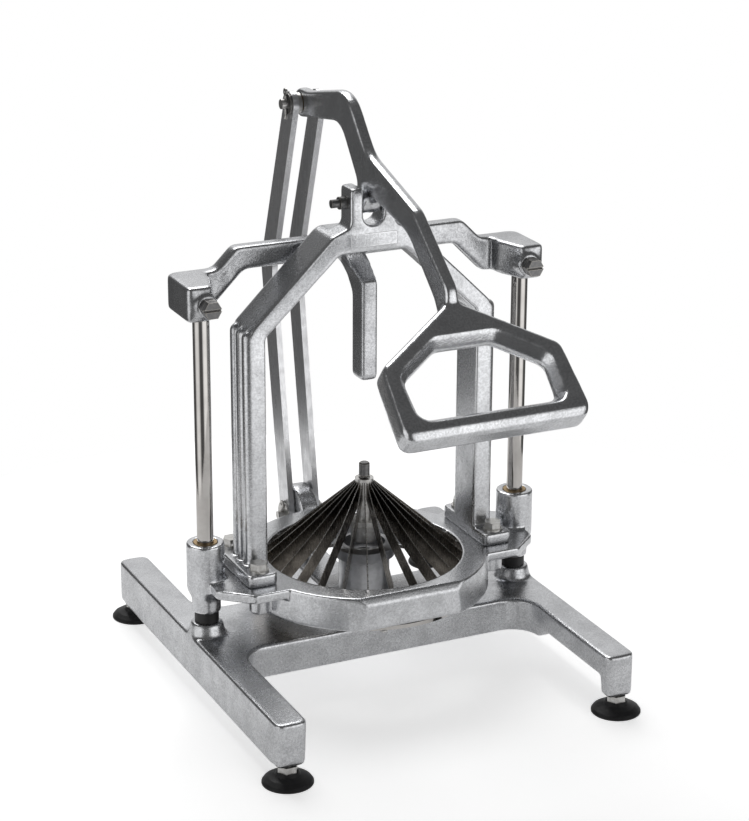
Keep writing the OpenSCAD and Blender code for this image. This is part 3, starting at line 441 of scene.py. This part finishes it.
class CUTTER_OT_feet(bpy.types.Operator):
    """Finish the rubber feet, their studs and the bumpers"""
    bl_idname = "cutter.feet"
    bl_label = "Feet and bumpers"

    def execute(self, context):
        for node in ("foot_front_left", "foot_front_right", "foot_rear_left", "foot_rear_right", "foot_studs",
                     "bumper_left", "bumper_right"):
            dress(node)
        return {"FINISHED"}


class CUTTER_OT_rods(bpy.types.Operator):
    """Finish the guide rods and what runs on them"""
    bl_idname = "cutter.rods"
    bl_label = "Guide rods"

    def execute(self, context):
        for node in ("guide_rod_left", "guide_rod_right", "rod_screws", "slide_bushings"):
            dress(node)
        return {"FINISHED"}


class CUTTER_OT_cutting_head(bpy.types.Operator):
    """Finish the blades, the hub with its core ejector, and the onion cup"""
    bl_idname = "cutter.cutting_head"
    bl_label = "Blades and cup"

    def execute(self, context):
        dress("blade_hub", "plated_steel")
        for node in ("blades", "blade_retainer", "retainer_screws", "ejector_pin", "ejector_cap",
                     "ejector_spring", "onion_cup", "cup_screw"):
            dress(node)
        return {"FINISHED"}


class CUTTER_OT_linkage(bpy.types.Operator):
    """Finish the links, their pins and the bushings"""
    bl_idname = "cutter.linkage"
    bl_label = "Links and pins"

    def execute(self, context):
        for node in ("link_left", "link_right", "link_pin", "link_washers", "link_spacers", "link_cotter",
                     "lower_pin", "lower_washers", "lower_cotter", "handle_bushing", "link_bushing",
                     "clevis_pin", "clevis_clip"):
            dress(node)
        return {"FINISHED"}


class CUTTER_OT_fasteners(bpy.types.Operator):
    """Finish the clamp screws and the gate's bolts"""
    bl_idname = "cutter.fasteners"
    bl_label = "Bolts and screws"

    def execute(self, context):
        for node in ("clamp_screws", "clamp_nuts", "gate_bolts", "gate_washers"):
            dress(node)
        return {"FINISHED"}


class CUTTER_OT_studio(bpy.types.Operator):
    """Set the pale floor, the soft lamps and the camera"""
    bl_idname = "cutter.studio"
    bl_label = "Studio"

    def execute(self, context):
        look = context.scene.cutter_studio
        self.lay_floor(look)
        self.light_world(context)
        self.hang_lamp("overhead", (0.1, 1.0, 1.7), 1.1, look.key_power)
        self.set_camera(context, look)
        context.scene.view_settings.view_transform = "Standard"
        return {"FINISHED"}

    def lay_floor(self, look):
        """A pale round table top that brightens to white for the camera and keeps the shadow."""
        turns = 96
        mesh = bpy.data.meshes.new("floor")
        rim = [(look.table * math.cos(a), look.table * math.sin(a), 0.0)
               for a in (math.tau * step / turns for step in range(turns))]
        mesh.from_pydata(rim, [], [tuple(range(turns))])
        floor = bpy.data.objects.new("floor", mesh)
        bpy.context.collection.objects.link(floor)

        def fill(paint):
            seen = paint.ray("Is Camera Ray") * 0.62 + paint.ray("Is Glossy Ray") * 0.3 \
                + paint.ray("Is Transmission Ray") * 0.1
            paint.surface(Base_Color=tuple(look.floor_tone), Roughness=0.75,
                          Emission_Color=paint.mix(seen, (0.0, 0.0, 0.0), (1.0, 1.0, 1.0)), Emission_Strength=1.0)

        mesh.materials.append(new_finish("floor", fill))

    def light_world(self, context):
        """Two soft boxes beside the camera and a white backdrop behind, in a dim room."""
        world = bpy.data.worlds.get("studio") or bpy.data.worlds.new("studio")
        context.scene.world = world
        world.use_nodes = True
        paint = Paint(world.node_tree)
        aim = paint.add("ShaderNodeTexCoord", out="Generated")
        level = ROOM_LEVEL
        for way, power in SOFT_BOXES:
            facing = paint.add("ShaderNodeVectorMath", {"operation": "DOT_PRODUCT"},
                               {0: aim, 1: tuple(Vector(way).normalized())}, out="Value")
            level = facing.between(*BOX_EDGE) * power + level
        room = paint.add("ShaderNodeBackground", {}, {"Color": (1.0, 1.0, 1.0), "Strength": level})
        white = paint.add("ShaderNodeBackground", {}, {"Color": (1.0, 1.0, 1.0), "Strength": 1.0})
        both = paint.add("ShaderNodeMixShader", {}, {0: paint.ray("Is Camera Ray"), 1: room, 2: white})
        paint.add("ShaderNodeOutputWorld", {}, {"Surface": both})

    def hang_lamp(self, name, place, size, power):
        """A square soft lamp aimed at the middle of the object."""
        lamp = bpy.data.lights.new(name, "AREA")
        lamp.size, lamp.energy = size, power
        thing = bpy.data.objects.new(name, lamp)
        bpy.context.collection.objects.link(thing)
        thing.location = place
        thing.rotation_euler = (Vector((0, 0, 0.2)) - Vector(place)).to_track_quat("-Z", "Y").to_euler()

    def set_camera(self, context, look):
        """The photograph's viewpoint."""
        low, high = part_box("guide_rod_left")
        rods = Vector((0.0, (low.y + high.y) / 2, 0.0))
        place = rods + Vector((-0.7520, -1.60715, 0.84026))
        target = rods + Vector((0.008573, 0.0, 0.20894))
        view = bpy.data.cameras.new("camera")
        view.lens, view.sensor_width, view.sensor_fit = look.lens, 36.0, "AUTO"
        camera = bpy.data.objects.new("camera", view)
        bpy.context.collection.objects.link(camera)
        aim = (target - place).to_track_quat("-Z", "Y")
        roll = Matrix.Rotation(math.radians(ROLL), 4, "Z")
        camera.matrix_world = Matrix.Translation(place) @ aim.to_matrix().to_4x4() @ roll
        context.scene.camera = camera


ROLL = 0.256
PANEL = (0.038, 0.3453, 0.3558, 0.0016)
ROOM_LEVEL = 0.1
BOX_EDGE = (0.74, 0.96)
SOFT_BOXES = (((0.47, -0.875, -0.1), 1.15), ((-0.985, -0.13, -0.05), 0.95), ((0.42, 0.87, 0.27), 0.6))
STEPS = (CUTTER_OT_castings, CUTTER_OT_feet, CUTTER_OT_rods, CUTTER_OT_cutting_head, CUTTER_OT_linkage,
         CUTTER_OT_fasteners, CUTTER_OT_studio)


class CUTTER_PT_panel(bpy.types.Panel):
    """Lists the sizes, colours and steps of the onion cutter"""
    bl_idname = "CUTTER_PT_panel"
    bl_label = "Onion Cutter"
    bl_space_type = "VIEW_3D"
    bl_region_type = "UI"
    bl_category = "Onion Cutter"

    def draw(self, context):
        for group in SETTINGS:
            box = self.layout.box()
            for name in group.__annotations__:
                box.prop(getattr(context.scene, SETTINGS[group]), name)
        for step in STEPS:
            self.layout.operator(step.bl_idname)


SETTINGS = {CastingSettings: "cutter_casting", SteelSettings: "cutter_steel", StudioSettings: "cutter_studio"}


def register():
    for group, name in SETTINGS.items():
        bpy.utils.register_class(group)
        setattr(bpy.types.Scene, name, bpy.props.PointerProperty(type=group))
    for step in (*STEPS, CUTTER_PT_panel):
        bpy.utils.register_class(step)


def unregister():
    for step in (CUTTER_PT_panel, *reversed(STEPS)):
        bpy.utils.unregister_class(step)
    for group, name in SETTINGS.items():
        delattr(bpy.types.Scene, name)
        bpy.utils.unregister_class(group)


def main():
    register()
    for step in STEPS:
        group, action = step.bl_idname.split(".")
        getattr(getattr(bpy.ops, group), action)()


if __name__ == "__main__":
    main()
